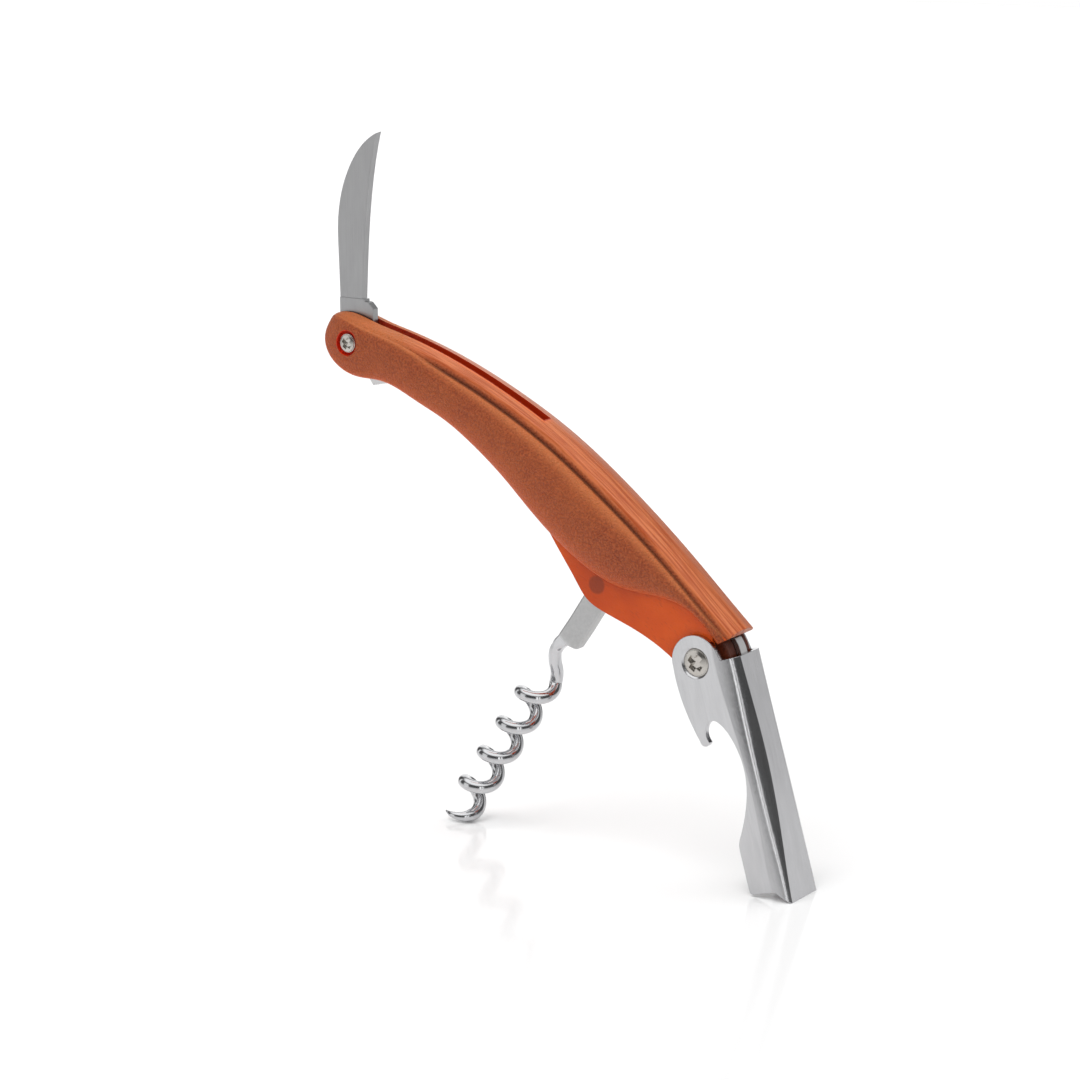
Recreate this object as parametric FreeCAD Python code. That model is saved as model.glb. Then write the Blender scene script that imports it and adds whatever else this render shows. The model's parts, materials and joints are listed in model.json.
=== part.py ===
import FreeCAD, Part
import math
import os

# Waiter's lever corkscrew, standing on the last turn of its worm and the end of its lever.
#
# Every piece is drawn in the bench frame: the lever pivot at the origin, the knife pivot on
# -X, the back of the handle towards +Z, and Y across the thickness. A side-view place is
# written (s, z), where s is the distance from the lever pivot towards the knife end.
# The finished assembly is then turned about Y and set down on z = 0.

V = FreeCAD.Vector
ACROSS = V(0, 1, 0)

# ---- overall sizes (mm) ----
PIVOT_SPAN = 110.0          # lever pivot to knife pivot
CORE_HALF = 5.1             # half thickness of the flat fin between the lever ears
SLOT_WIDTH = 2.7            # central slot for the knife and the spring
SLOT_END = 60.6             # where the slot in the back ends

# ---- lever (stamped sheet) ----
SHEET = 1.2
EAR_GAP = 0.16              # air between the fin and each ear
EAR_RADIUS = 5.95
EAR_HOLE = 3.0
LEVER_LENGTH = 53.4
HOOK_REACH = 17.8           # pivot to the tip of the bottle hook, along the lever
LEVER_OPENING = 135.9       # from folded to the standing pose, degrees
LEVER_FOLDED_DROP = 3.0     # folded lever leans this far away from the pivot line

# ---- worm ----
WORM_PIVOT = (28.8, -2.9)
WIRE_RADIUS = 1.45
COIL_RADIUS = 3.05          # axis to wire centre
COIL_PITCH = 9.44
COIL_TURNS = 5.55
COIL_TAPER = 0.33           # turns over which the wire sharpens to its point
TIP_RADIUS = 0.2
COIL_FIRST = 1.0            # turn at which the neck joins the coil
COIL_START = 21.4           # pivot to the coil's zero turn, along the worm
COIL_PHASE = 218.6          # where the zero turn starts, degrees
COIL_OFFSET = 0.5           # coil axis beside the pivot
SHANK_WIDTH = 5.6
SHANK_THICK = 2.96         # a hair more than the wire, which grows out of it
SHANK_LENGTH = 18.4
SHANK_CORNER = 1.0
WORM_PIN_RADIUS = 1.9
WORM_OPENING = 84.1
WORM_FOLDED_DROP = 4.6

# ---- knife ----
BLADE_LENGTH = 46.8
BLADE_THICK = 1.4
TANG_THICK = 1.8
BEVEL_WIDTH = 0.75
EDGE_THICK = 0.16
BLADE_START = 9.4           # pivot to where the thick tang steps down to the blade
KNIFE_OPENING = 109.0
KNIFE_FOLDED_RISE = 13.5    # folded blade rises towards the back by this angle

# ---- fasteners and fits ----
KNIFE_SCREW_HEAD = 2.1
KNIFE_COUNTERBORE = 2.8
KNIFE_BARREL = 1.75
KNIFE_SCREW_SHANK = 1.1
LEVER_SCREW_HEAD = 2.95
HEAD_STEP = 0.2             # the domed top of a head is this much smaller than its seat
HEAD_STEP_DEEP = 0.5
EAR_DISH = 0.4              # countersink round the hole in each ear
LEVER_BARREL = 2.2
LEVER_SCREW_SHANK = 1.4
SPRING_PIN_RADIUS = 1.0
RUNNING_FIT = 0.05          # radial clearance of a turning fit
SLIP = 0.02                 # radial clearance of a fixed fit
WORM_SLOT_SIDE = 0.3        # air each side of the worm's shank
TROUGH_GAP = 0.4            # air round the folded coil
HEAD_DEEP = 1.15            # how deep the knife screw's head sits in its counterbore
SPRING_PIN_COVER = 1.0      # wall that closes the blind hole of a spring pin
WORM_PIN_COVER = 0.8        # wall that closes the blind hole of the worm's pin
PIN_END_GAP = 0.05          # air past each end of a pin
POCKET_GAP = 0.5            # air above and below the leaf spring

EAR_OUTER = CORE_HALF + EAR_GAP + SHEET
HEAD_HALF = 5.9             # half thickness of the handle at the knife pivot

# ---- handle lines in side view, (s, z); K stretches them with the pivot span ----
DRAWN_SPAN = 110.0          # the span at which the lines below are drawn
K = PIVOT_SPAN / DRAWN_SPAN
BACK_LINE = [(-4, 9.6), (4.5, 11.0), (17, 13.1), (30, 14.8), (43, 15.9), (55, 16.2),
             (67, 15.4), (80, 13.6), (93, 10.8), (104, 7.4), (110, 5.5), (121, 4.4)]
BELLY_LINE = [(-4, 5.0), (0, 6.6), (7, 7.8), (14.4, 5.8), (20.6, 2.2), (27, -0.3), (36, -1.2),
              (46, -0.7), (58, 1.2), (70, 2.3), (82, 1.8), (91, 0.2), (98, -1.5), (103.5, -4.7),
              (108, -6.2), (113, -6.1), (121, -6.0)]
BULGE_LINE = [(-4, 5.2), (0, 5.5), (10, 6.1), (22, 7.3), (34, 8.1), (48, 8.2), (65, 7.6),
              (82, 6.9), (96, 6.3), (110, 5.9), (121, 5.9)]
GROOVE_LINE = [(-4, 1.5), (20, 1.6), (43, 2.0), (64, 1.9), (82, 1.8), (90, 1.5), (97, 0.9),
               (104, 0.7), (121, 0.7)]
STRIP_HALF = 4.3            # half width of the back strip
STRIP_CROWN = 0.6
VALLEY_WIDTH = 0.45         # strip edge to the bottom of the groove beside it
HEAD_CENTRE = (110.5, -0.8)
HEAD_REACH = 8.6            # head centre to the rounded end
LUG_RADIUS = 7.3
LUG_HALF = 4.0

# ---- lever cross-sections: along, fold line out, web out, half width of the web ----
EAR_FOLD = 5.6              # the ears are flat up to this line, then fold in to the web
FOOT_OUT = 8.9              # how far out the web stands at the lever's end
TONGUE_GAP = 0.6            # air between the fin's tongue and the fold
TONGUE_RADIUS = EAR_FOLD - TONGUE_GAP
TONGUE_ARC = (-129.0, 75.0)  # where the tongue's edge meets the fin below and above, degrees
LEVER_SECTIONS = [(-EAR_RADIUS - 1, EAR_FOLD, 9.6, 3.5), (14, EAR_FOLD, 9.9, 3.1), (27, 6.3, 9.9, 3.1),
                  (40, 5.9, 9.5, 4.0), (LEVER_LENGTH + 1, 5.7, FOOT_OUT, 5.0)]
SHOULDER_ROUND = 0.75       # 1 rolls the shoulder tangent to the flats, 0 bends it in two creases


# ---------------------------------------------------------------- small helpers
def at(line, s):
    """Natural cubic spline through a list of (s, value), read at s."""
    xs = [p[0] * K for p in line]
    ys = [p[1] for p in line]
    n = len(xs)
    h = [xs[i + 1] - xs[i] for i in range(n - 1)]
    m = [0.0] * n
    c = [0.0] * n
    d = [0.0] * n
    for i in range(1, n - 1):
        rise = (ys[i + 1] - ys[i]) / h[i] - (ys[i] - ys[i - 1]) / h[i - 1]
        pivot = 2 * (h[i - 1] + h[i]) - h[i - 1] * c[i - 1]
        c[i] = h[i] / pivot
        d[i] = (6 * rise - h[i - 1] * d[i - 1]) / pivot
    for i in range(n - 2, 0, -1):
        m[i] = d[i] - c[i] * m[i + 1]
    s = min(max(s, xs[0]), xs[-1])
    i = max(j for j in range(n - 1) if xs[j] <= s)
    a = (xs[i + 1] - s) / h[i]
    b = (s - xs[i]) / h[i]
    bend = ((a ** 3 - a) * m[i] + (b ** 3 - b) * m[i + 1]) * h[i] ** 2 / 6
    return a * ys[i] + b * ys[i + 1] + bend


def side(s, z, y=0.0):
    return V(-s, y, z)


def stretched(line):
    """A line of the spring for this pivot span: its ends keep their distance to the nearer pivot."""
    first, last = SPRING_FIXED
    shares = [min(max((s - first) / (last - first), 0.0), 1.0) for s, z in line]
    return [(s + (PIVOT_SPAN - DRAWN_SPAN) * share, z) for (s, z), share in zip(line, shares)]


def spline(points):
    curve = Part.BSplineCurve()
    curve.interpolate(points)
    return curve.toShape()


def even_spline(points):
    """Spline whose parameter is the same at the n-th point of every section, for a fair loft."""
    curve = Part.BSplineCurve()
    curve.interpolate(Points=points, Parameters=[float(k) for k in range(len(points))])
    return curve.toShape()


def prism(wire, y0, y1):
    """Closed side-view wire at y = 0, extruded from y0 to y1."""
    face = Part.Face(wire)
    solid = face.extrude(ACROSS * (y1 - y0))
    solid.translate(ACROSS * y0)
    return solid


def polygon(points, y0, y1):
    corners = [side(s, z) for s, z in points]
    return prism(Part.makePolygon(corners + corners[:1]), y0, y1)


def rod(s, z, radius, y0, y1):
    return Part.makeCylinder(radius, y1 - y0, side(s, z, y0), ACROSS)


def one(shape):
    """The single solid inside a boolean's result."""
    shape = shape.removeSplitter()
    solids = shape.Solids
    if len(solids) != 1:
        raise ValueError("expected one solid, got %d" % len(solids))
    return solids[0]


def group(solids):
    return Part.makeCompound(solids)


def mirrored(shape):
    return shape.mirror(V(0, 0, 0), ACROSS)


# ---------------------------------------------------------------- handle
def head_scale(s):
    """1 along the handle, falling to 0 as an ellipse over the rounded head."""
    over = (s - HEAD_CENTRE[0] * K) / HEAD_REACH
    return math.sqrt(max(0.0, 1 - over * over)) if over > 0 else 1.0


def half_section(s):
    """Closed wire of one half at s: strip, groove, bulge, underside, parting plane."""
    scale = head_scale(s)
    centre = HEAD_CENTRE[1]
    back = centre + (at(BACK_LINE, s) - centre) * scale
    belly = centre + (at(BELLY_LINE, s) - centre) * scale
    crown = STRIP_CROWN * scale
    strip = STRIP_HALF * scale
    valley = strip + VALLEY_WIDTH * scale
    dip = back - at(GROOVE_LINE, s) * scale
    bulge = valley + (at(BULGE_LINE, s) - STRIP_HALF - VALLEY_WIDTH) * scale
    top = [V(-s, strip * k / 4.4, back + crown * (1 - (k / 4) ** 2)) for k in range(5)]
    top += [V(-s, strip + 0.05 * scale, back - 0.3 * scale), V(-s, valley, dip)]
    middle = (dip + belly) / 2
    half_height = (dip - belly) / 2
    flank = []
    for k in range(13):
        turn = math.radians(90 - 15 * k)
        out = max(0.0, math.cos(turn)) ** 0.8
        rise = math.copysign(abs(math.sin(turn)) ** 0.9, math.sin(turn))
        flank.append(V(-s, valley + (bulge - valley) * out, middle + half_height * rise))
    flank[0] = top[-1]
    bottom = V(-s, 0, belly)
    edges = [even_spline(top), even_spline(flank), Part.makeLine(flank[-1], bottom),
             Part.makeLine(bottom, top[0])]
    return Part.Wire(edges)


def handle_skin():
    """One half of the moulded handle, lofted from the lip to the rounded knife end."""
    stations = [-4, 2, 9, 16, 23, 31, 40, 50, 60, 70, 80, 88, 94, 99, 103, 107]
    stations = [s * K for s in stations]
    centre = HEAD_CENTRE[0] * K
    stations += [centre + HEAD_REACH * math.sin(math.radians(a)) for a in (0, 18, 34, 50, 64, 75, 83)]
    return Part.makeLoft([half_section(s) for s in stations], True, False)


def fin_outline():
    """Side view of the flat fin with its tongue round the lever pivot."""
    under = [side(s * K, z) for s, z in ((48, 0.4), (41, -2.6), (33.5, -5.6), (29, -7.2),
                                         (24.5, -6.8), (16.3, -4.8), (9.4, -3.8))]
    start, finish = TONGUE_ARC
    turn = math.radians(start)
    under.append(V(TONGUE_RADIUS * math.cos(turn), 0, TONGUE_RADIUS * math.sin(turn)))
    # the tongue runs the long way round the pivot, past the lever side
    sweep = (finish - start) % 360
    a0 = under[-1]
    a1 = side(-TONGUE_RADIUS * math.cos(math.radians(finish)), TONGUE_RADIUS * math.sin(math.radians(finish)))
    mid_angle = math.radians(start + sweep / 2)
    am = V(TONGUE_RADIUS * math.cos(mid_angle), 0, TONGUE_RADIUS * math.sin(mid_angle))
    tongue = Part.Arc(a0, am, a1).toShape()
    inside = [a1, side(2, 8.6), side(14 * K, 9.2), side(48 * K, 8.0), under[0]]
    lines = [Part.makeLine(inside[i], inside[i + 1]) for i in range(len(inside) - 1)]
    return Part.Wire([spline(under), tongue] + lines)


def slot_tools():
    """Everything cut from the middle of the handle, as one list of solids."""
    half = SLOT_WIDTH / 2
    far = PIVOT_SPAN + 25
    knife = polygon([(SLOT_END, -15), (far, -15), (far, 30), (SLOT_END, 30)], -half, half)
    roof = [(s, z + POCKET_GAP) for s, z in stretched(SPRING_TOP[3:10])]
    base = [(s, z - POCKET_GAP) for s, z in stretched(SPRING_BOTTOM[3:10])]
    ends = [Part.makeLine(side(*roof[-1]), side(*base[-1])), Part.makeLine(side(*base[0]), side(*roof[0]))]
    pocket = Part.Wire([spline([side(*point) for point in roof]), ends[0],
                        spline([side(*point) for point in base[::-1]]), ends[1]])
    front = polygon([(roof[0][0] + 0.2, roof[0][1]), (1.0, 8.6), (-3.2, 8.9), (-12, 8.9),
                     (-12, 2.5), (-2.5, 2.5), (2.0, 6.3), (base[0][0] + 0.2, base[0][1])], -half, half)
    wide = SHANK_THICK / 2 + WORM_SLOT_SIDE
    ps, pz = worm_pivot()
    worm = polygon([(ps - 4.8, -12), (ps - 4.2, pz - 1.0), (ps - 3.0, pz + 2.8), (ps, pz + 4.2),
                    (ps + 4, pz + 4.4), (ps + 24, pz + 4.2), (ps + 24, -12)], -wide, wide)
    return [knife, prism(pocket, -half, half), front, worm, trough()]


def trough():
    """Half-round channel in the underside where the folded coil lies."""
    ps, pz = worm_pivot()
    drop = math.radians(WORM_FOLDED_DROP)
    along = V(-math.cos(drop), 0, -math.sin(drop))
    across = V(-math.sin(drop), 0, math.cos(drop))
    start = side(ps, pz) + along * (SHANK_LENGTH - 0.6) + across * COIL_OFFSET
    reach = COIL_START + COIL_PITCH * COIL_TURNS - SHANK_LENGTH + 2.5
    return Part.makeCylinder(COIL_RADIUS + WIRE_RADIUS + TROUGH_GAP, reach, start, along)


def lug():
    """Rounded end of the core that runs inside the lever's channel."""
    disc = rod(0, 0, LUG_RADIUS, 0, LUG_HALF)
    keep = polygon([(-12, -2.5), (-2, -2.5), (3, 5.0), (6, 9.0), (-2.2, 8.6), (-12, 8.6)], 0, LUG_HALF)
    return disc.common(keep)


def lip_cut():
    """Block that trims the lever end of the skin to its sloped lip."""
    return polygon([(-2.9, 14), (-2.9, 9.0), (-1.2, 5.9), (-1.2, -12), (-15, -12), (-15, 14)], -12, 12)


def handle_half():
    skin = handle_skin().cut(lip_cut())
    half = skin.fuse([prism(fin_outline(), 0, CORE_HALF), lug()])
    half = half.cut(slot_tools())
    ks = PIVOT_SPAN
    ps, pz = worm_pivot()
    bores = [rod(0, 0, LEVER_BARREL + SLIP, -1, 12),
             rod(ks, 0, KNIFE_BARREL + SLIP, -1, 12),
             rod(ks, 0, KNIFE_COUNTERBORE, HEAD_HALF - HEAD_DEEP, 12),
             rod(ps, pz, WORM_PIN_RADIUS + SLIP, -1, CORE_HALF - WORM_PIN_COVER)]
    bores += [rod(s, z, SPRING_PIN_RADIUS + SLIP, -1, CORE_HALF - SPRING_PIN_COVER)
              for s, z in stretched(SPRING_PINS)]
    return one(half.cut(bores))


# ---------------------------------------------------------------- spring
# upper and lower edge of the leaf, from the lever end to the knife end
SPRING_TOP = [(-5.9, 6.0), (-2.8, 7.9), (3, 8.55), (14, 8.9), (28, 9.5), (38, 9.6), (47, 9.0),
              (54, 6.8), (60, 4.9), (66, 4.2), (75, 3.9), (85, 2.9), (92, 1.6), (96, 0.6),
              (99.5, -1.0), (102.0, -3.1), (103.8, -5.3)]
SPRING_BOTTOM = [(-4.6, 4.4), (-2.0, 6.3), (3, 7.0), (14, 7.1), (28, 6.6), (38, 4.6), (47, 3.4),
                 (54, 3.1), (60, 2.8), (66, 2.6), (75, 2.4), (85, 1.6), (92, 0.3), (95, -0.6),
                 (98.2, -2.9), (100.2, -4.8), (101.5, -6.1)]
SPRING_PINS = [(40, 7.1), (50, 5.6)]
SPRING_FIXED = (3.0, 98.0)  # the ends beyond these places follow the lever and the knife pivot
SPRING_SIDE = 0.1           # air each side of the leaf in its slot
SPRING_HALF = SLOT_WIDTH / 2 - SPRING_SIDE


def backspring():
    top = [side(s, z) for s, z in stretched(SPRING_TOP)]
    bottom = [side(s, z) for s, z in stretched(SPRING_BOTTOM)]
    outline = Part.Wire([spline(top), Part.makeLine(top[-1], bottom[-1]),
                         spline(bottom[::-1]), Part.makeLine(bottom[0], top[0])])
    leaf = prism(outline, -SPRING_HALF, SPRING_HALF)
    holes = [rod(s, z, SPRING_PIN_RADIUS + SLIP, -2, 2) for s, z in stretched(SPRING_PINS)]
    return one(leaf.cut(holes))


def spring_pins():
    reach = CORE_HALF - SPRING_PIN_COVER - PIN_END_GAP
    return group([rod(s, z, SPRING_PIN_RADIUS, -reach, reach) for s, z in stretched(SPRING_PINS)])


# ---------------------------------------------------------------- knife, about its pivot
def blade_point(u, v, y=0.0):
    """u along the blade from the pivot, v towards the spine; blade along +X, spine up."""
    return V(u, y, v)


def edge_line(u):
    """v of the cutting edge: a shallow hook that deepens towards the tip."""
    share = max(0.0, (u - BLADE_START) / (BLADE_LENGTH - BLADE_START))
    return -1.45 - 2.05 * share - 2.6 * share ** 3.2


def knife_blade():
    tip = blade_point(BLADE_LENGTH, edge_line(BLADE_LENGTH))
    r = BLADE_LENGTH / 46.8
    spine = [blade_point(u, v) for u, v in ((4.0, 5.55), (9.6, 5.55), (20 * r, 5.85), (27 * r, 5.8),
                                            (33 * r, 4.7), (39 * r, 2.2), (43.9 * r, -1.5))] + [tip]
    steps = 10
    cuts = [BLADE_LENGTH + (BLADE_START - BLADE_LENGTH) * k / steps for k in range(steps + 1)]
    edge = [blade_point(u, edge_line(u)) for u in cuts]
    kick = [edge[-1], blade_point(8.9, -1.5), blade_point(8.7, -2.5), blade_point(7.4, -3.8),
            blade_point(2.6, -3.8)]
    tang = Part.Arc(kick[-1], blade_point(-4.95, -1.1), blade_point(-2.9, 4.2)).toShape()
    heel = [blade_point(-2.9, 4.2), blade_point(1.5, 5.3), spine[0]]
    lines = [Part.makeLine(a, b) for a, b in zip(kick[:-1], kick[1:])]
    lines += [tang] + [Part.makeLine(a, b) for a, b in zip(heel[:-1], heel[1:])]
    outline = Part.Wire([spline(spine), spline(edge)] + lines)
    plate = prism(outline, -TANG_THICK / 2, TANG_THICK / 2)
    relief = (TANG_THICK - BLADE_THICK) / 2
    for sign in (1, -1):
        inner = sign * BLADE_THICK / 2
        box = Part.makeBox(60, relief + 1, 30, V(BLADE_START, 0, -15))
        box.translate(ACROSS * (inner if sign > 0 else inner - relief - 1))
        plate = plate.cut(box)
        wedges = []
        for k in range(steps + 1):
            u = BLADE_START + (BLADE_LENGTH + 1 - BLADE_START) * k / steps
            v = edge_line(u)
            corners = [V(u, inner, v + BEVEL_WIDTH), V(u, sign * EDGE_THICK / 2, v - 0.02),
                       V(u, inner * 2, v - 1.0), V(u, inner * 2, v + BEVEL_WIDTH)]
            wedges.append(Part.makePolygon(corners + corners[:1]))
        plate = plate.cut(Part.makeLoft(wedges, True, True))
    return one(plate.cut(Part.makeCylinder(KNIFE_BARREL + RUNNING_FIT, 10, V(0, -5, 0), ACROSS)))


# ---------------------------------------------------------------- worm, about its pivot
def worm_pivot():
    return WORM_PIVOT[0] * K, WORM_PIVOT[1]


def coil_point(t):
    """Worm along +X, its pivot at the origin; -Z faces the handle when folded. Right-handed."""
    turn = math.radians(360 * t + COIL_PHASE)
    return V(COIL_START + COIL_PITCH * t, -COIL_RADIUS * math.cos(turn),
             -COIL_OFFSET - COIL_RADIUS * math.sin(turn))


def coil_tangent(t):
    return (coil_point(t + 0.01) - coil_point(t - 0.01)).normalize()


def coil_wire(t):
    """Radius of the worm's wire at turn t: full, then sharpened to the tip."""
    share = max(0.0, (t - (COIL_TURNS - COIL_TAPER)) / COIL_TAPER)
    return WIRE_RADIUS + (TIP_RADIUS - WIRE_RADIUS) * share


def ring(centre, direction, radius):
    return Part.Wire([Part.makeCircle(radius, centre, direction)])


def worm():
    half = SHANK_WIDTH / 2
    plate = Part.makeBox(SHANK_LENGTH, SHANK_THICK, SHANK_WIDTH, V(0, -SHANK_THICK / 2, -half))
    corners = [e for e in plate.Edges if e.BoundBox.XMin > SHANK_LENGTH - 0.01 and e.BoundBox.ZLength < 0.01]
    shank = plate.makeFillet(SHANK_CORNER, corners)
    shank = shank.fuse(Part.makeCylinder(half, SHANK_THICK, V(0, -SHANK_THICK / 2, 0), ACROSS))
    shank = shank.cut(Part.makeCylinder(WORM_PIN_RADIUS + RUNNING_FIT, 10, V(0, -5, 0), ACROSS))
    base = COIL_START
    neck = [V(SHANK_LENGTH - 5.0, 0, -1.1), V(SHANK_LENGTH - 2.0, 0, -1.2), V(base - 2.0, 0.05, -1.7),
            V(base + 0.8, 0.35, -2.1), V(base + 4.0, 1.3, -1.3), V(base + 6.8, 2.2, 0.3)]
    taper_from = COIL_TURNS - COIL_TAPER
    steps = int(round((taper_from - COIL_FIRST) * 12))
    body = [coil_point(COIL_FIRST + (taper_from - COIL_FIRST) * k / steps) for k in range(steps + 1)]
    path = Part.Wire([spline(neck + body)])
    start_dir = (neck[1] - neck[0]).normalize()
    wire = path.makePipeShell([ring(neck[0], start_dir, WIRE_RADIUS)], True, False)
    point = [coil_point(taper_from - 0.03 + (COIL_TURNS - taper_from + 0.03) * k / 8) for k in range(9)]
    ends = [ring(point[0], coil_tangent(taper_from - 0.03), WIRE_RADIUS),
            ring(point[-1], coil_tangent(COIL_TURNS), TIP_RADIUS)]
    tip = Part.Wire([spline(point)]).makePipeShell(ends, True, False)
    return one(shank.fuse([wire, tip]))


# ---------------------------------------------------------------- lever, about its pivot
# lever along +X, its web towards +Z and its open side towards -Z; points are (down, out)
def lever_point(down, out, y=0.0):
    return V(down, y, out)


def channel_wire(down, fold, web, half, inset):
    """Open-fronted section: two flats, two curved shoulders and a web, inset by a wall."""
    wide = EAR_OUTER - inset
    flat = half - inset * 0.35
    deep = web - inset
    left, right = [], []
    for k in range(7):
        turn = math.radians(15 * k)
        across = SHOULDER_ROUND * math.cos(turn) + (1 - SHOULDER_ROUND) * (1 - k / 6)
        outward = SHOULDER_ROUND * math.sin(turn) + (1 - SHOULDER_ROUND) * k / 6
        y = flat + (wide - flat) * across
        out = fold + (deep - fold) * outward
        right.append(lever_point(down, out, y))
        left.append(lever_point(down, out, -y))
    front = -9.0
    a, b = lever_point(down, front, wide), lever_point(down, front, -wide)
    return Part.Wire([Part.makeLine(a, right[0]), spline(right), Part.makeLine(right[-1], left[-1]),
                      spline(left[::-1]), Part.makeLine(left[0], b), Part.makeLine(b, a)])


def lever_channel():
    outer = Part.makeLoft([channel_wire(*row, 0.0) for row in LEVER_SECTIONS], True, False)
    inner_rows = [(LEVER_SECTIONS[0][0] - 1,) + LEVER_SECTIONS[0][1:]] + LEVER_SECTIONS[1:-1]
    inner_rows.append((LEVER_SECTIONS[-1][0] + 1,) + LEVER_SECTIONS[-1][1:])
    inner = Part.makeLoft([channel_wire(*row, SHEET) for row in inner_rows], True, False)
    inner = inner.fuse(Part.makeBox(90, 2 * (EAR_OUTER - SHEET), 20, V(-20, -(EAR_OUTER - SHEET), -25)))
    return outer.cut(inner)


def lever_outline():
    """Side view of the stamping: ear, front edge, bottle hook, waist, wing, end, rim."""
    e = EAR_RADIUS
    h = HOOK_REACH / 17.8
    n = LEVER_LENGTH / 53.4
    rise = math.radians(20)
    shoulder = lever_point(-e * math.sin(rise), e * math.cos(rise))
    ear = Part.Arc(shoulder, lever_point(-e, 0), lever_point(0, -e + 0.3)).toShape()
    ear.reverse()
    front = [lever_point(0, -e + 0.3), lever_point(6 * h, -5.65), lever_point(11 * h, -4.9),
             lever_point(16.6 * h, -3.35)]
    hook = Part.Arc(front[-1], lever_point(17.8 * h, -2.4), lever_point(17.1 * h, -1.1)).toShape()
    throat = [lever_point(17.1 * h, -1.1), lever_point(15.4 * h, -1.5), lever_point(13.7 * h, -0.9),
              lever_point(12.6 * h, 1.0), lever_point(13.9 * h, 2.9), lever_point(17 * h, 4.6),
              lever_point(22.5 * h, 5.8), lever_point(26 * n, 5.7), lever_point(33 * n, 3.6),
              lever_point(37.6 * n, 1.2)]
    corner = Part.Arc(throat[-1], lever_point(39.0 * n, 0.4), lever_point(40.6 * n, 0.05)).toShape()
    foot = LEVER_LENGTH - 3.0
    toe = Part.Arc(lever_point(foot - 0.8, 0.0), lever_point(foot - 0.25, 0.25),
                   lever_point(foot, 0.8)).toShape()
    lines = [Part.makeLine(lever_point(40.6 * n, 0.05), lever_point(foot - 0.8, 0.0)), toe,
             Part.makeLine(lever_point(foot, 0.8), lever_point(foot, 6.2)),
             Part.makeLine(lever_point(foot, 6.2), lever_point(LEVER_LENGTH, FOOT_OUT)),
             Part.makeLine(lever_point(LEVER_LENGTH, FOOT_OUT), lever_point(LEVER_LENGTH, 14)),
             Part.makeLine(lever_point(LEVER_LENGTH, 14), lever_point(0.3, 14)),
             Part.makeLine(lever_point(0.3, 14), lever_point(0.3, 6.2))]
    saddle = spline([lever_point(0.3, 6.2), lever_point(-0.7, 5.95), shoulder])
    edges = [ear, spline(front), hook, spline(throat), corner] + lines + [saddle]
    return Part.Wire(Part.__sortEdges__(edges))


def lever():
    blank = prism(lever_outline(), -20, 20)
    stamped = lever_channel().common(blank)
    hole = Part.makeCylinder(EAR_HOLE, 30, V(0, -15, 0), ACROSS)
    stamped = stamped.cut(hole)
    for sign in (1, -1):
        seat = V(0, sign * (EAR_OUTER - EAR_DISH), 0)
        cone = Part.makeCone(EAR_HOLE, EAR_HOLE + EAR_DISH, EAR_DISH, seat, ACROSS * sign)
        stamped = stamped.cut(cone)
    return one(stamped)


# ---------------------------------------------------------------- screws, nuts, pins, washers
def cross_recess(radius, depth, face):
    """Cruciform driver recess, cut inwards from the plane y = -face."""
    arm = radius * 0.26
    reach = radius * 0.62
    deep = depth + 1
    bars = [Part.makeBox(2 * reach, deep, 2 * arm, V(-reach, -face - 1, -arm)),
            Part.makeBox(2 * arm, deep, 2 * reach, V(-arm, -face - 1, -reach))]
    return bars[0].fuse(bars[1])


def domed_head(radius, base, top, dome):
    """Low domed disc on the -Y side, from y = -base out to y = -top, stepped in above its seat."""
    rim = radius - HEAD_STEP
    seat = Part.makeCylinder(radius, top - base - HEAD_STEP_DEEP, V(0, -(top - HEAD_STEP_DEEP), 0), ACROSS)
    disc = seat.fuse(Part.makeCylinder(rim, top - base, V(0, -top, 0), ACROSS))
    ball = (rim ** 2 + dome ** 2) / (2 * dome)
    return disc.common(Part.makeSphere(ball, V(0, ball - top, 0)))


def screw_and_nut(head, base, top, shank, barrel, dome):
    """Near-side screw with a cross recess, and far-side barrel nut, about the Y axis."""
    depth = (top - base) * 0.75
    screw = domed_head(head, base, top, dome)
    screw = screw.fuse(Part.makeCylinder(shank, base + 2.6, V(0, -base, 0), ACROSS))
    screw = screw.cut(cross_recess(head, depth, top))
    nut = mirrored(domed_head(head, base, top, dome))
    sleeve = Part.makeCylinder(barrel, 2 * base - 0.6, V(0, -base + 0.6, 0), ACROSS)
    bore = Part.makeCylinder(shank + SLIP, base + 3.0, V(0, -base, 0), ACROSS)
    nut = nut.fuse(sleeve).cut(bore)
    return one(screw), one(nut)


def place(shape, s, z):
    moved = shape.copy()
    moved.translate(side(s, z))
    return moved


def knife_washers():
    gap = (SLOT_WIDTH - TANG_THICK) / 2
    thick = gap - 0.06
    discs = []
    for sign in (1, -1):
        y0 = sign * (TANG_THICK / 2 + 0.03)
        disc = Part.makeCylinder(3.2, thick, V(0, y0, 0), ACROSS * sign)
        discs.append(disc.cut(Part.makeCylinder(KNIFE_BARREL + SLIP, 10, V(0, -5, 0), ACROSS)))
    return place(group(discs), PIVOT_SPAN, 0)


# ---------------------------------------------------------------- assembly and standing pose
def swung(shape, angle, s, z):
    """Turn a piece drawn along +X about Y so it points along angle, then put it on its pivot."""
    moved = shape.copy()
    moved.rotate(V(0, 0, 0), ACROSS, -angle)
    moved.translate(side(s, z))
    return moved


def swung_point(point, angle, s, z):
    turn = math.radians(angle)
    x = point.x * math.cos(turn) - point.z * math.sin(turn)
    zz = point.x * math.sin(turn) + point.z * math.cos(turn)
    return V(x - s, point.y, zz + z)


KNIFE_ANGLE = KNIFE_FOLDED_RISE + KNIFE_OPENING
WORM_ANGLE = -180 + WORM_FOLDED_DROP + WORM_OPENING
LEVER_ANGLE = -180 + LEVER_FOLDED_DROP + LEVER_OPENING


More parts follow.
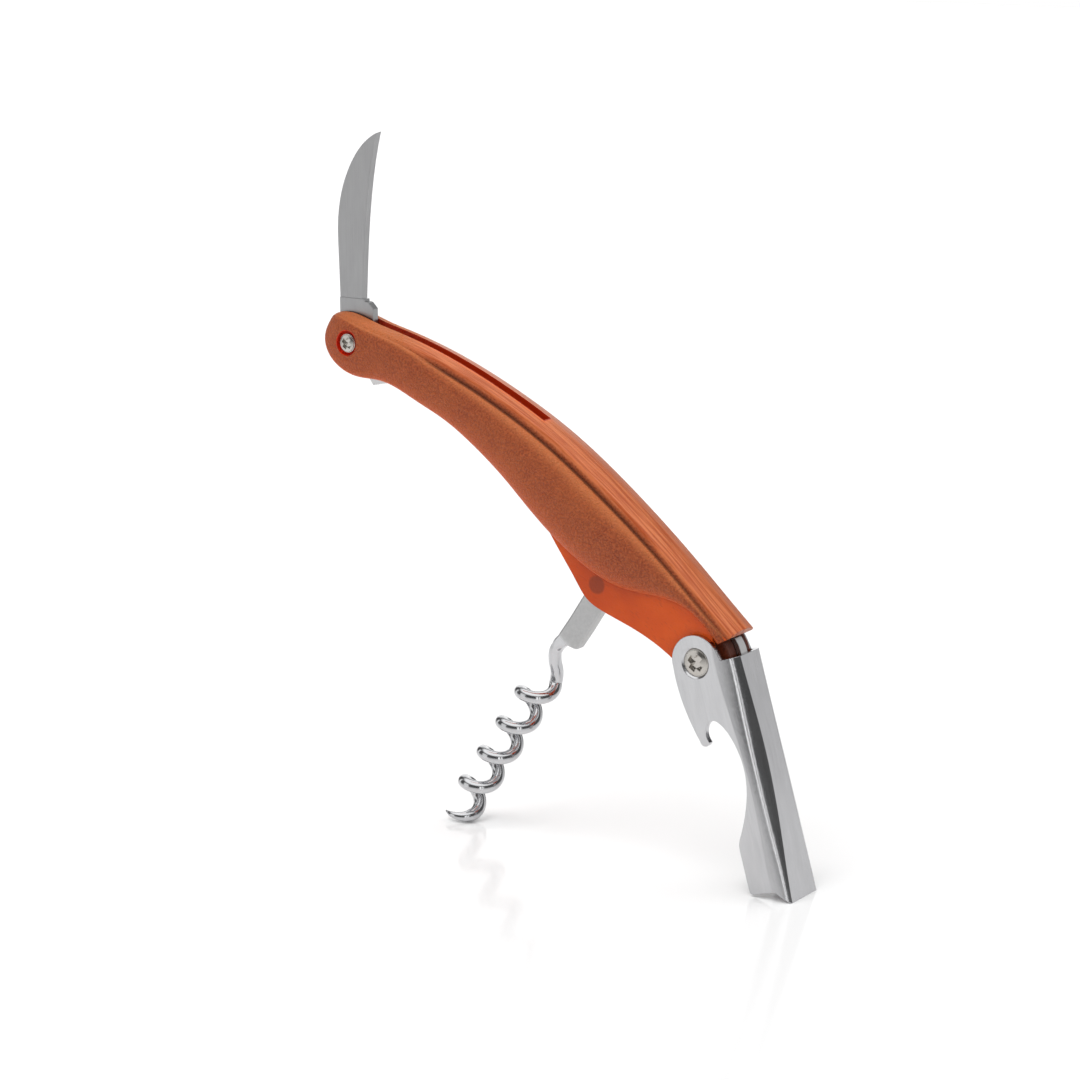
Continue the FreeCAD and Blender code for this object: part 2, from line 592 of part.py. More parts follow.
def height(point, tilt):
    turn = math.radians(tilt)
    return -point.x * math.sin(turn) + point.z * math.cos(turn)


def standing_tilt():
    """Tilt at which the coil's last turn and the lever's end are equally low."""
    ps, pz = worm_pivot()
    ts = [COIL_TURNS - 1.1 + 0.005 * k for k in range(221)]
    coil = [(swung_point(coil_point(t), WORM_ANGLE, ps, pz), coil_wire(t)) for t in ts]
    foot = swung_point(lever_point(LEVER_LENGTH, FOOT_OUT), LEVER_ANGLE, 0, 0)
    low, high = 15.0, 50.0
    for _ in range(40):
        tilt = (low + high) / 2
        if min(height(point, tilt) - wire for point, wire in coil) > height(foot, tilt):
            high = tilt
        else:
            low = tilt
    return tilt


def build():
    near = handle_half()
    ps, pz = worm_pivot()
    knife_screw, knife_nut = screw_and_nut(KNIFE_SCREW_HEAD, HEAD_HALF - HEAD_DEEP, HEAD_HALF,
                                           KNIFE_SCREW_SHANK, KNIFE_BARREL, 0.25)
    lever_screw, lever_nut = screw_and_nut(LEVER_SCREW_HEAD, CORE_HALF + 0.02, EAR_OUTER + 0.1,
                                           LEVER_SCREW_SHANK, LEVER_BARREL, 0.4)
    pin_reach = CORE_HALF - WORM_PIN_COVER - PIN_END_GAP
    return {
        "handle_half_left": mirrored(near),
        "handle_half_right": near,
        "backspring": backspring(),
        "spring_pins": spring_pins(),
        "knife_blade": swung(knife_blade(), KNIFE_ANGLE, PIVOT_SPAN, 0),
        "knife_washers": knife_washers(),
        "knife_pivot_screw": place(knife_screw, PIVOT_SPAN, 0),
        "knife_pivot_nut": place(knife_nut, PIVOT_SPAN, 0),
        "worm": swung(worm(), WORM_ANGLE, ps, pz),
        "worm_pin": rod(ps, pz, WORM_PIN_RADIUS, -pin_reach, pin_reach),
        "lever": swung(lever(), LEVER_ANGLE, 0, 0),
        "lever_pivot_screw": lever_screw,
        "lever_pivot_nut": lever_nut,
    }


def stand(pieces):
    """Tilt the assembly, drop it on z = 0 and centre its box over the origin."""
    tilt = standing_tilt()
    for shape in pieces.values():
        shape.rotate(V(0, 0, 0), ACROSS, tilt)
    box = FreeCAD.BoundBox()
    for shape in pieces.values():
        box.add(shape.optimalBoundingBox())
    shift = V(-(box.XMin + box.XMax) / 2, 0, -box.ZMin)
    for shape in pieces.values():
        shape.translate(shift)
    return tilt, shift


def main():
    pieces = build()
    tilt, shift = stand(pieces)
    os.makedirs("parts", exist_ok=True)
    for name, shape in pieces.items():
        shape.exportStep("parts/%s.step" % name)
        box = shape.optimalBoundingBox()
        print("%-20s solids %d volume %8.1f valid %s  z %.2f to %.2f" % (
            name, len(shape.Solids), shape.Volume, shape.isValid(), box.ZMin, box.ZMax))
    print("tilt %.3f" % tilt)
    turn = FreeCAD.Rotation(ACROSS, tilt)
    ps, pz = worm_pivot()
    for name, (s, z) in {"knife": (PIVOT_SPAN, 0), "worm": (ps, pz), "lever": (0, 0)}.items():
        spot = turn.multVec(side(s, z)) + shift
        print("pivot %-6s x %.4f z %.4f" % (name, spot.x, spot.z))


main()
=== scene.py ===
import json
import math
import bpy
import numpy as np
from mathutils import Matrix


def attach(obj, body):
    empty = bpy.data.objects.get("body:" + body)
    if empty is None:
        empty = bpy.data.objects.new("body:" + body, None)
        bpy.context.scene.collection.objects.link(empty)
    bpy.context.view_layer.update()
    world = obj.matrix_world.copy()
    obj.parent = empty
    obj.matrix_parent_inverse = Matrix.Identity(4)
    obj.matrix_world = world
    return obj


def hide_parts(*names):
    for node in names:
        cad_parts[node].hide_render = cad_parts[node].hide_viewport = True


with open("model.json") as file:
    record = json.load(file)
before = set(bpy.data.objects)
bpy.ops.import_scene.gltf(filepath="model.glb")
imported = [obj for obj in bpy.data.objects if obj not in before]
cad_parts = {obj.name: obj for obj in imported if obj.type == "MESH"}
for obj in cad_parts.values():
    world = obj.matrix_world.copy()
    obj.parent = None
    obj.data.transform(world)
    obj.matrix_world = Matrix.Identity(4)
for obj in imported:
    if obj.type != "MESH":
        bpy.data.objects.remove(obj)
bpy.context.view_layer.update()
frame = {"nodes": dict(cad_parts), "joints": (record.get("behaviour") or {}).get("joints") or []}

# Waiter's lever corkscrew: looks for a folding tool that stands on its worm and its lever.
# The frame is in metres. Surfaces and finishes measure in millimetres from a pivot, along the
# handle's own directions: ALONG from the lever pivot towards the knife pivot, BACK from the belly
# towards the back, ACROSS through the thickness.
MM = 0.001
EDGE_ROUND = 0.00018        # metres; stands for the broken edges of stampings and mouldings
BEVEL_SAMPLES = 6
BRUSH_DEEP = 0.00001        # metres; depth of brush lines and of the grain on metal
DULL = 0.8                  # share of its tint that brushed steel keeps in its dull lines
SMUDGED = 0.85              # the same for the smudges on small metal pieces
JOINT = {j["name"]: j for j in frame["joints"]}
LEVER_AT = np.array(JOINT["lever_hinge"]["pos_m"])
KNIFE_AT = np.array(JOINT["knife_hinge"]["pos_m"])
WORM_AT = np.array(JOINT["worm_hinge"]["pos_m"])
SPAN = float(np.linalg.norm(KNIFE_AT - LEVER_AT))
ALONG = (KNIFE_AT - LEVER_AT) / SPAN
BACK = np.array([ALONG[2], 0.0, -ALONG[0]])
ACROSS = np.array([0.0, 1.0, 0.0])
UP = np.array([0.0, 0.0, 1.0])
LEVER_TURN = math.atan2(-ALONG[2], -ALONG[0]) + math.radians(-41.1)


# ---------------------------------------------------------------- shader arithmetic
class Wire:
    """A node's output that can be used in Python arithmetic; each operator adds a Math node."""

    def __init__(self, tree, socket):
        self.tree = tree
        self.socket = socket

    def math(self, operation, *values):
        node = self.tree.nodes.new("ShaderNodeMath")
        node.operation = operation
        for slot, value in zip(node.inputs, (self,) + values):
            join(self.tree, slot, value)
        return Wire(self.tree, node.outputs[0])

    def __add__(self, other):
        return self.math("ADD", other)

    __radd__ = __add__

    def __mul__(self, other):
        return self.math("MULTIPLY", other)

    __rmul__ = __mul__

    def __sub__(self, other):
        return self.math("SUBTRACT", other)

    def __rsub__(self, other):
        node = self.tree.nodes.new("ShaderNodeMath")
        node.operation = "SUBTRACT"
        join(self.tree, node.inputs[0], other)
        join(self.tree, node.inputs[1], self)
        return Wire(self.tree, node.outputs[0])

    def __truediv__(self, other):
        return self.math("DIVIDE", other)

    def __neg__(self):
        return self.math("MULTIPLY", -1.0)

    def __abs__(self):
        return self.math("ABSOLUTE")

    def above(self, edge, soft):
        """0 below edge - soft, 1 above edge + soft, eased between."""
        node = self.tree.nodes.new("ShaderNodeMapRange")
        node.interpolation_type = "SMOOTHSTEP"
        join(self.tree, node.inputs[0], self)
        join(self.tree, node.inputs[1], edge - soft)
        join(self.tree, node.inputs[2], edge + soft)
        return Wire(self.tree, node.outputs[0])

    def below(self, edge, soft):
        """1 below edge - soft, 0 above edge + soft, eased between."""
        return 1 - self.above(edge, soft)


def join(tree, slot, value):
    """Feeds an input with a wire, a colour, a vector or a plain number."""
    if isinstance(value, Wire):
        tree.links.new(value.socket, slot)
    elif isinstance(value, (tuple, list, np.ndarray)):
        value = [float(v) for v in value]
        slot.default_value = value + [1.0] if len(value) == 3 and len(slot.default_value) == 4 else value
    else:
        slot.default_value = value


class Finish:
    """One material with a Principled shader, and short calls for the nodes that feed it."""

    def __init__(self, name, **constants):
        self.material = bpy.data.materials.new(name)
        self.material.use_nodes = True
        self.tree = self.material.node_tree
        self.shader = self.tree.nodes["Principled BSDF"]
        for socket, value in constants.items():
            join(self.tree, self.shader.inputs[socket.replace("_", " ")], value)
        self.place = self.node("ShaderNodeTexCoord", out="Object")

    def node(self, kind, settings=None, out=0, **inputs):
        """New node with inputs given by name, or by number as i0, i1 and so on; returns one output."""
        node = self.tree.nodes.new(kind)
        for name, value in (settings or {}).items():
            setattr(node, name, value)
        for name, value in inputs.items():
            key = int(name[1:]) if name[1:].isdigit() else name.replace("_", " ")
            join(self.tree, node.inputs[key], value)
        return Wire(self.tree, node.outputs[out])

    def feed(self, socket, value):
        join(self.tree, self.shader.inputs[socket], value)

    def measure(self, operation, first, second):
        """A number from two vectors: their DOT_PRODUCT, or the DISTANCE between them."""
        settings = {"operation": operation}
        return self.node("ShaderNodeVectorMath", settings, out="Value", i0=first, i1=second)

    def along(self, origin, direction):
        """Millimetres from origin along a direction, at each point of the surface."""
        shifted = self.node("ShaderNodeVectorMath", {"operation": "SUBTRACT"}, i0=self.place, i1=origin)
        return self.measure("DOT_PRODUCT", shifted, direction / MM)

    def around(self, pivot):
        """Millimetres from a pivot's axis, seen from the side."""
        s = self.along(pivot, ALONG)
        z = self.along(pivot, BACK)
        return (s * s + z * z).math("SQRT")

    def vector(self, x, y, z):
        return self.node("ShaderNodeCombineXYZ", i0=x, i1=y, i2=z)

    def noise(self, vector, scale, detail, roughness):
        return self.node("ShaderNodeTexNoise", Vector=vector, Scale=scale, Detail=detail,
                         Roughness=roughness)

    def blend(self, factor, first, second):
        """The first colour where factor is 0, the second where it is 1."""
        node = self.tree.nodes.new("ShaderNodeMix")
        node.data_type = "RGBA"
        join(self.tree, node.inputs[0], factor)
        join(self.tree, node.inputs[6], first)
        join(self.tree, node.inputs[7], second)
        return Wire(self.tree, node.outputs[2])

    def relief(self, height, distance, strength):
        """Bumps over faces whose edges are slightly rounded."""
        rounded = self.node("ShaderNodeBevel", {"samples": BEVEL_SAMPLES}, Radius=EDGE_ROUND)
        return self.node("ShaderNodeBump", Height=height, Distance=distance, Strength=strength,
                         Normal=rounded)


def colour(red, green, blue):
    """Linear colour from a display colour in 0-255."""
    shares = [v / 255 for v in (red, green, blue)]
    return tuple(v / 12.92 if v <= 0.04045 else ((v + 0.055) / 1.055) ** 2.4 for v in shares)


# ---------------------------------------------------------------- surfaces
def eased(value, start, end):
    """Smooth step: 0 before start, 1 after end, level at both."""
    share = np.clip((value - start) / (end - start), 0, 1)
    return share * share * (3 - 2 * share)


def tube_object(name, points):
    """Closed skin over points[ring, place, xyz] in metres; each end is a fan to a pole."""
    rings, sides = points.shape[:2]
    poles = points[[0, -1]].mean(axis=1)
    row, column = np.meshgrid(np.arange(rings - 1), np.arange(sides), indexing="ij")
    a = row * sides + column
    b = row * sides + (column + 1) % sides
    quads = np.stack([a, b, b + sides, a + sides], axis=-1).reshape(-1, 4)
    ring = np.arange(sides)
    after = (ring + 1) % sides
    first = np.stack([np.full(sides, rings * sides), after, ring], axis=-1)
    base = (rings - 1) * sides
    last = np.stack([np.full(sides, rings * sides + 1), base + ring, base + after], axis=-1)
    mesh = bpy.data.meshes.new(name)
    mesh.from_pydata(np.concatenate([points.reshape(-1, 3), poles]), [],
                     quads.tolist() + first.tolist() + last.tolist())
    mesh.polygons.foreach_set("use_smooth", np.ones(len(mesh.polygons), dtype=bool))
    piece = bpy.data.objects.new(name, mesh)
    bpy.context.scene.collection.objects.link(piece)
    return piece


# the worm, in millimetres from its pivot: along the worm, across, and away from the knife
WORM_TURN = math.radians(-91.3)
WORM_DOWN = -ALONG * math.cos(WORM_TURN) + BACK * math.sin(WORM_TURN)
WORM_OUT = ALONG * math.sin(WORM_TURN) + BACK * math.cos(WORM_TURN)
BAR_LENGTH = 18.4           # from the pivot to where the flat bar ends
BAR_HALF = 2.8              # half its width
BAR_THICK = 1.48            # half its thickness
BAR_POWER = 9               # how square its section is
EYE_REACH = BAR_HALF + 0.21  # how far the bar's round end goes past the pivot
EYE_LEAST = 0.001
NARROWING = (BAR_LENGTH - 0.9, BAR_LENGTH + 0.5)    # where the bar shrinks to the wire
ROUNDING = (BAR_LENGTH - 0.6, BAR_LENGTH + 3.5)     # where its square edges round off
WIRE = 1.45                 # radius of the wire
WIRE_POWER = 2
NECK_OUT = -1.2             # the wire leaves the bar along its knife-side edge
COIL_ZERO = 21.4            # where the coil's turns are counted from
COIL_PITCH = 9.44
COIL_RADIUS = 3.05          # from the coil's axis to the middle of the wire
COIL_OUT = -0.5             # the coil's axis beside the pivot
COIL_PHASE = 218.6          # degrees
COIL_FIRST = 1.0            # turns
COIL_LAST = 5.55
COIL_LEAD = np.array([0, 0.04, 0.08])   # turns at the coil's start that the neck's curve meets
LEAD_GAP = 0.05
TAPER_TURNS = 0.36
POINT_RADIUS = 0.12
SATIN_REACH = 18.6          # the shank is satin this far from the pivot
TIP_CLOSING = 60            # how quickly the last of the point closes, per turn
TIP_LEAST = 0.02
NECK_POINTS = 190
COIL_POINTS = 330
RING_POINTS = 56
NECK = [(-3.0, 0, NECK_OUT), (8.0, 0, NECK_OUT), (15.0, 0, NECK_OUT), (18.6, 0, NECK_OUT - 0.2),
        (21.0, 0.15, -2.0), (23.2, 0.55, -2.1), (25.6, 1.3, -1.3), (28.2, 2.2, 0.3)]


def coil_place(turn):
    """Right-handed helix of one wire about an axis beside the pivot."""
    swing = np.radians(360 * turn + COIL_PHASE)
    return np.stack([COIL_ZERO + COIL_PITCH * turn, -COIL_RADIUS * np.cos(swing),
                     COIL_OUT - COIL_RADIUS * np.sin(swing)], axis=-1)


def through(knots, count):
    """Cubic Hermite curve through knots, with each knot's slope taken from its neighbours."""
    knots = np.asarray(knots, float)
    reach = np.concatenate([[0], np.cumsum(np.linalg.norm(np.diff(knots, axis=0), axis=1))])
    slope = np.gradient(knots, reach, axis=0)
    where = np.linspace(0, reach[-1], count)
    k = np.clip(np.searchsorted(reach, where, side="right") - 1, 0, len(reach) - 2)
    gap = (reach[k + 1] - reach[k])[:, None]
    u = (where - reach[k])[:, None] / gap
    return ((2 * u ** 3 - 3 * u ** 2 + 1) * knots[k] + (u ** 3 - 2 * u ** 2 + u) * gap * slope[k]
            + (3 * u ** 2 - 2 * u ** 3) * knots[k + 1] + (u ** 3 - u ** 2) * gap * slope[k + 1])


def worm_forging():
    """Worm as one forging. A line runs down the bar, through the bent neck and round the helix. At each
    point the section is a superellipse |a|^p + |b|^p = 1 across that line: wide and square (p = 9) on the
    bar, round (p = 2) on the wire, and shrinking to the point over the last part turn."""
    lead = coil_place(COIL_FIRST + COIL_LEAD)
    neck = through(NECK + list(lead), NECK_POINTS)
    neck = neck[neck[:, 0] < lead[0, 0] - LEAD_GAP]
    line = np.concatenate([neck, coil_place(np.linspace(COIL_FIRST, COIL_LAST, COIL_POINTS))])
    along = line[:, 0]
    way = np.gradient(line, axis=0)
    way /= np.linalg.norm(way, axis=1)[:, None]
    up = UP - way[:, 2:] * way
    up /= np.linalg.norm(up, axis=1)[:, None]
    aside = np.cross(way, up)

    wired = eased(along, *NARROWING)
    rounded = eased(along, *ROUNDING)
    eye = np.sqrt(np.clip(1 - (np.minimum(along, 0) / EYE_REACH) ** 2, EYE_LEAST, 1))
    turn = (along - COIL_ZERO) / COIL_PITCH
    tapered = np.clip((turn - (COIL_LAST - TAPER_TURNS)) / TAPER_TURNS, 0, 1)
    taper = 1 - tapered * (1 - POINT_RADIUS / WIRE)
    tip = np.sqrt(np.clip((COIL_LAST - turn) * TIP_CLOSING + TIP_LEAST, 0, 1))
    half = ((BAR_HALF * eye * (1 - wired) + WIRE * wired) * taper * tip)[:, None]
    thick = ((BAR_THICK * (1 - wired) + WIRE * wired) * taper * tip)[:, None]
    bend = 2 / (BAR_POWER * (1 - rounded) + WIRE_POWER * rounded)[:, None]
    shift = (-NECK_OUT * (1 - wired))[:, None]

    spin = np.linspace(0, 2 * np.pi, RING_POINTS, endpoint=False)[None, :]
    a = np.sign(np.cos(spin)) * np.abs(np.cos(spin)) ** bend * half + shift
    b = np.sign(np.sin(spin)) * np.abs(np.sin(spin)) ** bend * thick
    local = line[:, None] + up[:, None] * a[..., None] + aside[:, None] * b[..., None]
    placed = local[..., 0:1] * WORM_DOWN + local[..., 1:2] * ACROSS + local[..., 2:3] * WORM_OUT
    return tube_object("worm_forging", WORM_AT + placed * MM)


# ---------------------------------------------------------------- finishes
# the handle's features, in millimetres: from the lever pivot along it, from its middle plane out,
# and above the line of the pivots or below the crest of its back
ARCH_MIDDLE = 53.0          # the back's arch: its middle along the handle, and half its length
ARCH_TOP = 16.1
ARCH_LEAN = 0.3
ARCH_FALL = 7.7
ARCH_SKEW = 1.5
GROOVE_DEEP = 1.9           # painted shade in the groove beside the back strip
GROOVE_SIDE = 5.3
GROOVE_END = 92.0
STRIP_DEEP = 0.9            # streaked strip down the back
STRIP_SIDE = 4.6
STRIP_END = 97.0
SLOT_DEEP = 2.5             # knife slot, and the channel under the back
SLOT_SIDE = 1.385
SLOT_START = 60.3
FIN_TOP = 8.4               # smooth fin round the worm's and the lever's pivots
FIN_SIDE = 5.16
FIN_END = 46.0
LUG_TOP = 8.9               # lugs that carry the lever, painted dark as shade
LUG_SIDE = 4.2
LUG_FACE = -0.4
PIN_SHADOW = 2.0            # radius of the worm's pin where it shows through the fin
BORE_RADIUS = 2.95          # counterbore of the knife's screw
BORE_SIDE = 5.8


def handle_finish():
    """Sand-grained translucent brown-red moulding, streaked back strip, smooth orange fin; painted glow in
    the slot, and painted highlights, shade and sheen elsewhere.
    """
    f = Finish("handle_moulding", Specular_IOR_Level=0.36, Subsurface_Weight=0.12,
               Subsurface_Radius=(1.0, 0.25, 0.08), Subsurface_Scale=0.0022)
    s = f.along(LEVER_AT, ALONG)
    z = f.along(LEVER_AT, BACK)
    y = f.along(LEVER_AT, ACROSS)
    wide = abs(y)
    upward = f.measure("DOT_PRODUCT", f.node("ShaderNodeTexCoord", out="Normal"), BACK)
    crest = z - back_height(s)

    grain = f.noise(f.place, 2300.0, 2.0, 0.55)
    cloud = f.noise(f.place, 70.0, 3.0, 0.5)
    streak = f.noise(f.vector(s * 0.06, y * 2.2, z * 0.15), 1.0, 3.0, 0.65)
    fleck = f.noise(f.vector(s * 0.5, y * 3.0, z * 3.0), 1.0, 2.0, 0.5)

    bulge = f.blend(grain.above(0.5, 0.2), colour(134, 58, 28), colour(170, 84, 44))
    bulge = f.blend(cloud.above(0.55, 0.2) * 0.3, bulge, colour(182, 98, 50))
    # painted highlight: faces of the bulge turned up are blended lighter
    bulge = f.blend(upward.above(0.55, 0.3) * 0.5, bulge, colour(214, 128, 76))
    # painted glow: faces of the bulge turned down are blended to a bright orange
    bulge = f.blend((-upward).above(0.4, 0.5) * 0.8, bulge, colour(224, 96, 36))
    # painted shade: the groove beside the back strip is darkened
    groove_shade = abs(crest + GROOVE_DEEP).below(0.45, 0.45)
    groove_shade = groove_shade * wide.below(GROOVE_SIDE, 0.3) * s.below(GROOVE_END, 8.0)
    bulge = f.blend(groove_shade * 0.8, bulge, colour(72, 28, 10))
    strip = f.blend(streak.above(0.5, 0.14), colour(168, 76, 34), colour(204, 116, 70))
    # painted highlight: brighter orange along both edges of the knife slot
    strip = f.blend(wide.below(1.9, 0.35) * s.above(60.0, 1.0), strip, colour(216, 108, 54))
    # painted sheen: the back strip's far half is paler and greyer
    strip = f.blend(y.above(1.2, 0.6) * 0.6, strip, colour(176, 112, 88))
    fin = f.blend(cloud.above(0.5, 0.22), colour(188, 66, 4), colour(212, 84, 8))
    fin = f.blend(fleck.above(0.66, 0.06) * 0.35, fin, colour(142, 52, 20))
    pin_shadow = f.around(WORM_AT).below(PIN_SHADOW, 0.35)
    fin = f.blend(pin_shadow * 0.6, fin, colour(104, 42, 20))
    # painted shade: the lugs are a streaked dark brown for the shadow they stand in
    lug_shade = f.blend(streak, colour(66, 26, 14), colour(104, 48, 26))

    on_fin = wide.below(FIN_SIDE, 0.02) * z.below(FIN_TOP, 0.2) * s.below(FIN_END, 1.0)
    on_strip = wide.below(STRIP_SIDE, 0.25) * crest.above(-STRIP_DEEP, 0.35) * s.below(STRIP_END, 5.0)
    slotted = s.above(SLOT_START, 0.15).math("MAXIMUM", crest.below(-SLOT_DEEP, 0.2))
    in_slot = wide.below(SLOT_SIDE, 0.02) * slotted
    on_lug = s.below(LUG_FACE, 0.25) * wide.below(LUG_SIDE, 0.1) * z.below(LUG_TOP, 0.1)
    base = f.blend(on_fin, bulge, fin)
    base = f.blend(on_strip, base, strip)
    # painted glow: the inside of the knife slot is a deep red
    base = f.blend(in_slot, base, f.blend(streak, colour(150, 34, 6), colour(176, 44, 10)))
    base = f.blend(on_lug, base, lug_shade)
    counterbore = f.around(KNIFE_AT).below(BORE_RADIUS, 0.08) * wide.below(BORE_SIDE, 0.05)
    base = f.blend(counterbore, base, colour(214, 40, 6))
    f.feed("Base Color", base)

    smooth = on_fin.math("MAXIMUM", on_strip).math("MAXIMUM", on_lug)
    f.feed("Roughness", 0.46 - smooth * 0.14 + grain * 0.08)
    sand = grain * (1 - smooth * 0.86) + streak * on_strip * 0.3
    f.feed("Normal", f.relief(sand, 0.00055, 0.9))
    return f.material


def back_height(s):
    """Height of the handle's back above the pivot line at s, in millimetres, as a low arch."""
    t = (s - ARCH_MIDDLE) / ARCH_MIDDLE
    return ARCH_TOP - t * ARCH_LEAN - t * t * ARCH_FALL - t * t * t * ARCH_SKEW


def brushed(name, tint, rough, origin, direction, strength):
    """Steel with fine brush lines that run along a direction; returns its material."""
    f = Finish(name, Metallic=1.0)
    run = f.along(origin, direction)
    rise = f.along(origin, np.cross(direction, ACROSS))
    y = f.along(origin, ACROSS)
    line = f.noise(f.vector(run * 0.12, rise * 5.0, y * 5.0), 1.0, 4.0, 0.7)
    smudge = f.noise(f.vector(run * 0.09, rise * 0.3, y * 0.3), 1.0, 3.0, 0.55)
    worn = line.above(0.5, 0.3) * 0.6 + smudge.above(0.5, 0.25) * 0.4
    f.feed("Base Color", f.blend(worn, [c * DULL for c in tint], tint))
    f.feed("Roughness", rough + line * 0.12 + smudge * 0.08 - 0.06)
    f.feed("Normal", f.relief(line, BRUSH_DEEP, strength))
    return f.material


def blade_finish():
    """Satin blade, brushed lengthwise."""
    return brushed("blade_satin", colour(170, 170, 171), 0.3, KNIFE_AT, UP, 0.35)


def lever_finish():
    """Polished stamped steel with faint drawing lines down its length."""
    down = np.array([math.cos(LEVER_TURN), 0.0, math.sin(LEVER_TURN)])
    return brushed("lever_polish", colour(204, 204, 206), 0.14, LEVER_AT, down, 0.12)


def worm_finish():
    """Bright wire on the coil, satin on the flat shank."""
    f = Finish("worm_polish", Metallic=1.0)
    away = f.measure("DISTANCE", f.place, WORM_AT) / MM
    satin = away.below(SATIN_REACH, 0.8)
    grain = f.noise(f.place, 1500.0, 3.0, 0.6)
    smudge = f.noise(f.place, 90.0, 2.0, 0.5)
    bright = f.blend(smudge, colour(188, 189, 191), colour(206, 206, 208))
    grey = f.blend(grain, colour(168, 168, 168), colour(194, 194, 194))
    f.feed("Base Color", f.blend(satin, bright, grey))
    f.feed("Roughness", 0.1 + smudge * 0.08 + satin * 0.22)
    f.feed("Normal", f.relief(grain, BRUSH_DEEP, 0.25))
    return f.material


def plain_metal(name, tint, rough):
    """Turned or stamped metal with a fine grain and light smudges."""
    f = Finish(name, Metallic=1.0)
    grain = f.noise(f.place, 1200.0, 3.0, 0.6)
    smudge = f.noise(f.place, 160.0, 2.0, 0.5)
    f.feed("Base Color", f.blend(smudge, [c * SMUDGED for c in tint], tint))
    f.feed("Roughness", rough + smudge * 0.1)
    f.feed("Normal", f.relief(grain, BRUSH_DEEP, 0.3))
    return f.material


def dress(node, material):
    """Gives one piece of the frame its material."""
    mesh = frame["nodes"][node].data
    mesh.materials.clear()
    mesh.materials.append(material)


# ---------------------------------------------------------------- studio
# azimuth (0 looks from -Y, +90 from +X), half width in degrees, brightness, softness of its edge
STRIP_LIGHTS = [(-145, 20, 1.0, 5), (-42, 15, 0.9, 2.5), (32, 2.5, 2.4, 2), (43, 2, 2.0, 2),
                (146, 13, 0.64, 6), (-92, 5, 1.2, 5)]
STRIP_TOP = 0.5             # heights are the sine of the elevation
CEILING_FROM = 0.68
CEILING_LEVEL = 1.3
ROOM_LEVEL = 0.1            # between the strips, in reflections
SOFT_LEVEL = 0.3            # for diffuse light
FLOOR_HALF = 3.0            # metres
FLOOR_WHITE = (0.93, 0.93, 0.93)
VIEW_AZIMUTH = math.radians(35.205)
VIEW_ELEVATION = math.radians(13.304)
VIEW_DISTANCE = 0.654305    # metres
VIEW_AIM = np.array([LEVER_AT[0] - 0.044318, 0.0, 0.067907])


def world_light():
    """White room for the eye; for reflections, a soft room with dark gaps and strip lights."""
    world = bpy.data.worlds.new("studio")
    bpy.context.scene.world = world
    world.use_nodes = True
    tree = world.node_tree
    tree.nodes.clear()
    out = tree.nodes.new("ShaderNodeOutputWorld")
    ground = tree.nodes.new("ShaderNodeBackground")
    tree.links.new(ground.outputs[0], out.inputs[0])
    coords = tree.nodes.new("ShaderNodeTexCoord")
    split = tree.nodes.new("ShaderNodeSeparateXYZ")
    tree.links.new(coords.outputs["Generated"], split.inputs[0])
    x, y, z = (Wire(tree, split.outputs[k]) for k in range(3))
    turn = x.math("ARCTAN2", -y) * (180 / math.pi)
    overhead = z.above(CEILING_FROM, 0.1) * CEILING_LEVEL
    strips = 0
    for centre, width, level, soft in STRIP_LIGHTS:
        strips = abs(turn - centre).below(width, soft) * level + strips
    room = strips * z.below(STRIP_TOP, 0.12) + overhead + ROOM_LEVEL
    path = tree.nodes.new("ShaderNodeLightPath")
    camera = Wire(tree, path.outputs["Is Camera Ray"])
    diffuse = Wire(tree, path.outputs["Is Diffuse Ray"])
    level = camera + (1 - camera) * (diffuse * SOFT_LEVEL + (1 - diffuse) * room)
    join(tree, ground.inputs["Color"], (1.0, 1.0, 1.0))
    join(tree, ground.inputs["Strength"], level)


def soft_sun(name, azimuth, elevation, spread, strength):
    """Even light from a wide patch of sky; angles in degrees. It isn't seen in reflections."""
    lamp = bpy.data.lights.new(name, "SUN")
    lamp.angle = math.radians(spread)
    lamp.energy = strength
    holder = bpy.data.objects.new(name, lamp)
    bpy.context.scene.collection.objects.link(holder)
    holder.rotation_euler = (math.radians(90 - elevation), 0, math.radians(azimuth))
    holder.visible_glossy = False


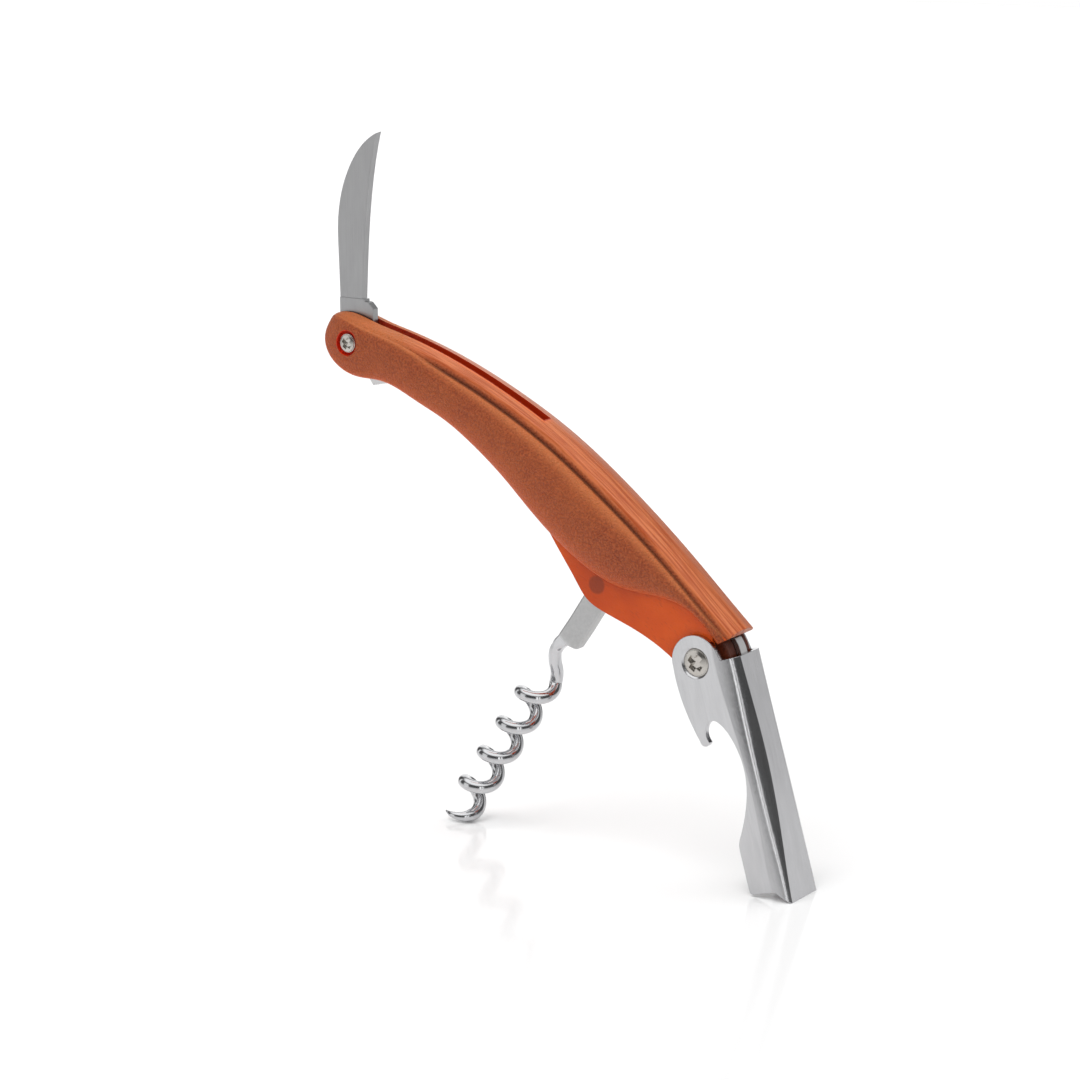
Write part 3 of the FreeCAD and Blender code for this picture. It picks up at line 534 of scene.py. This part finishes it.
def floor():
    """Glossy white table."""
    mesh = bpy.data.meshes.new("floor")
    corners = [(x * FLOOR_HALF, y * FLOOR_HALF, 0) for x, y in ((-1, -1), (1, -1), (1, 1), (-1, 1))]
    mesh.from_pydata(corners, [], [(0, 1, 2, 3)])
    table = bpy.data.objects.new("floor", mesh)
    bpy.context.scene.collection.objects.link(table)
    f = Finish("floor_white", Roughness=0.12)
    f.feed("Base Color", FLOOR_WHITE)
    mesh.materials.append(f.material)


def camera():
    """100 mm lens at the standing tool's three-quarter view, aimed between its feet and handle."""
    level = math.cos(VIEW_ELEVATION)
    back = np.array([math.sin(VIEW_AZIMUTH) * level, -math.cos(VIEW_AZIMUTH) * level,
                     math.sin(VIEW_ELEVATION)])
    lens = bpy.data.cameras.new("camera")
    lens.lens = 100
    lens.sensor_width = 36
    lens.clip_start = 0.01
    eye = bpy.data.objects.new("camera", lens)
    bpy.context.scene.collection.objects.link(eye)
    eye.location = VIEW_AIM + back * VIEW_DISTANCE
    eye.rotation_euler = (math.pi / 2 - VIEW_ELEVATION, 0, VIEW_AZIMUTH)
    bpy.context.scene.camera = eye


handle_material = handle_finish()
for half in ("handle_half_left", "handle_half_right"):
    dress(half, handle_material)
dress("knife_blade", blade_finish())
dress("lever", lever_finish())
worm_piece = worm_forging()
worm_piece.data.materials.append(worm_finish())
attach(worm_piece, "worm")
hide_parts("worm")
dress("backspring", plain_metal("spring_steel", colour(204, 202, 202), 0.14))
dress("spring_pins", plain_metal("pin_steel", colour(150, 120, 100), 0.3))
dress("worm_pin", plain_metal("pin_bronzed", colour(110, 62, 42), 0.35))
dress("knife_washers", plain_metal("washer_brass", colour(200, 160, 90), 0.3))
screw = plain_metal("screw_bright", colour(198, 194, 188), 0.12)
for name in ("knife_pivot_screw", "knife_pivot_nut", "lever_pivot_screw", "lever_pivot_nut"):
    dress(name, screw)

world_light()
soft_sun("key", -20, 62, 55, 2.0)
soft_sun("rim", 150, 55, 60, 1.1)
soft_sun("fill", 60, 25, 50, 0.25)
floor()
camera()
bpy.context.scene.view_settings.view_transform = "Standard"
